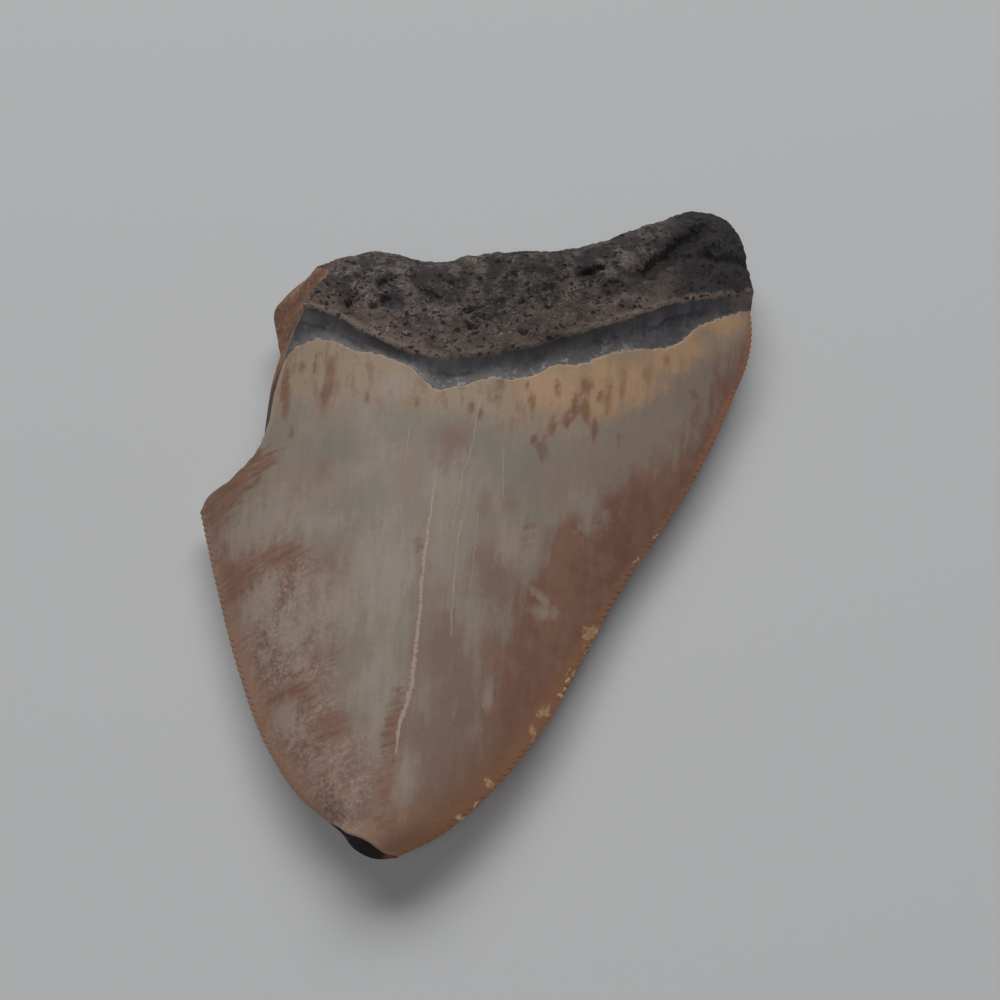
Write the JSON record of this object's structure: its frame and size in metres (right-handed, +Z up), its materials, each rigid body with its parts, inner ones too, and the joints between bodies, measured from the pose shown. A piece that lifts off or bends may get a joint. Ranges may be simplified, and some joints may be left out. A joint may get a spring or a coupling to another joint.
{
  "type": "fossil shark tooth",
  "caption": "Fossil megalodon tooth, serrated blade with a dark neck band and rough root, its left side and tip broken, lying flat.",
  "frame": {"origin": "under the middle of the bounding box, at the level of the surface the tooth lies on", "axes": "+Z up, away from that surface, the tooth's inner face up; +Y along the tooth from its tip to its root; +X across it to its unbroken side"},
  "size_m": [0.0634, 0.087, 0.017],
  "materials": {
    "tooth": "smooth worn enamel over a rough mineral root"
  },
  "bodies": {
    "root": {"tooth": "tooth"}
  },
  "joints": []
}
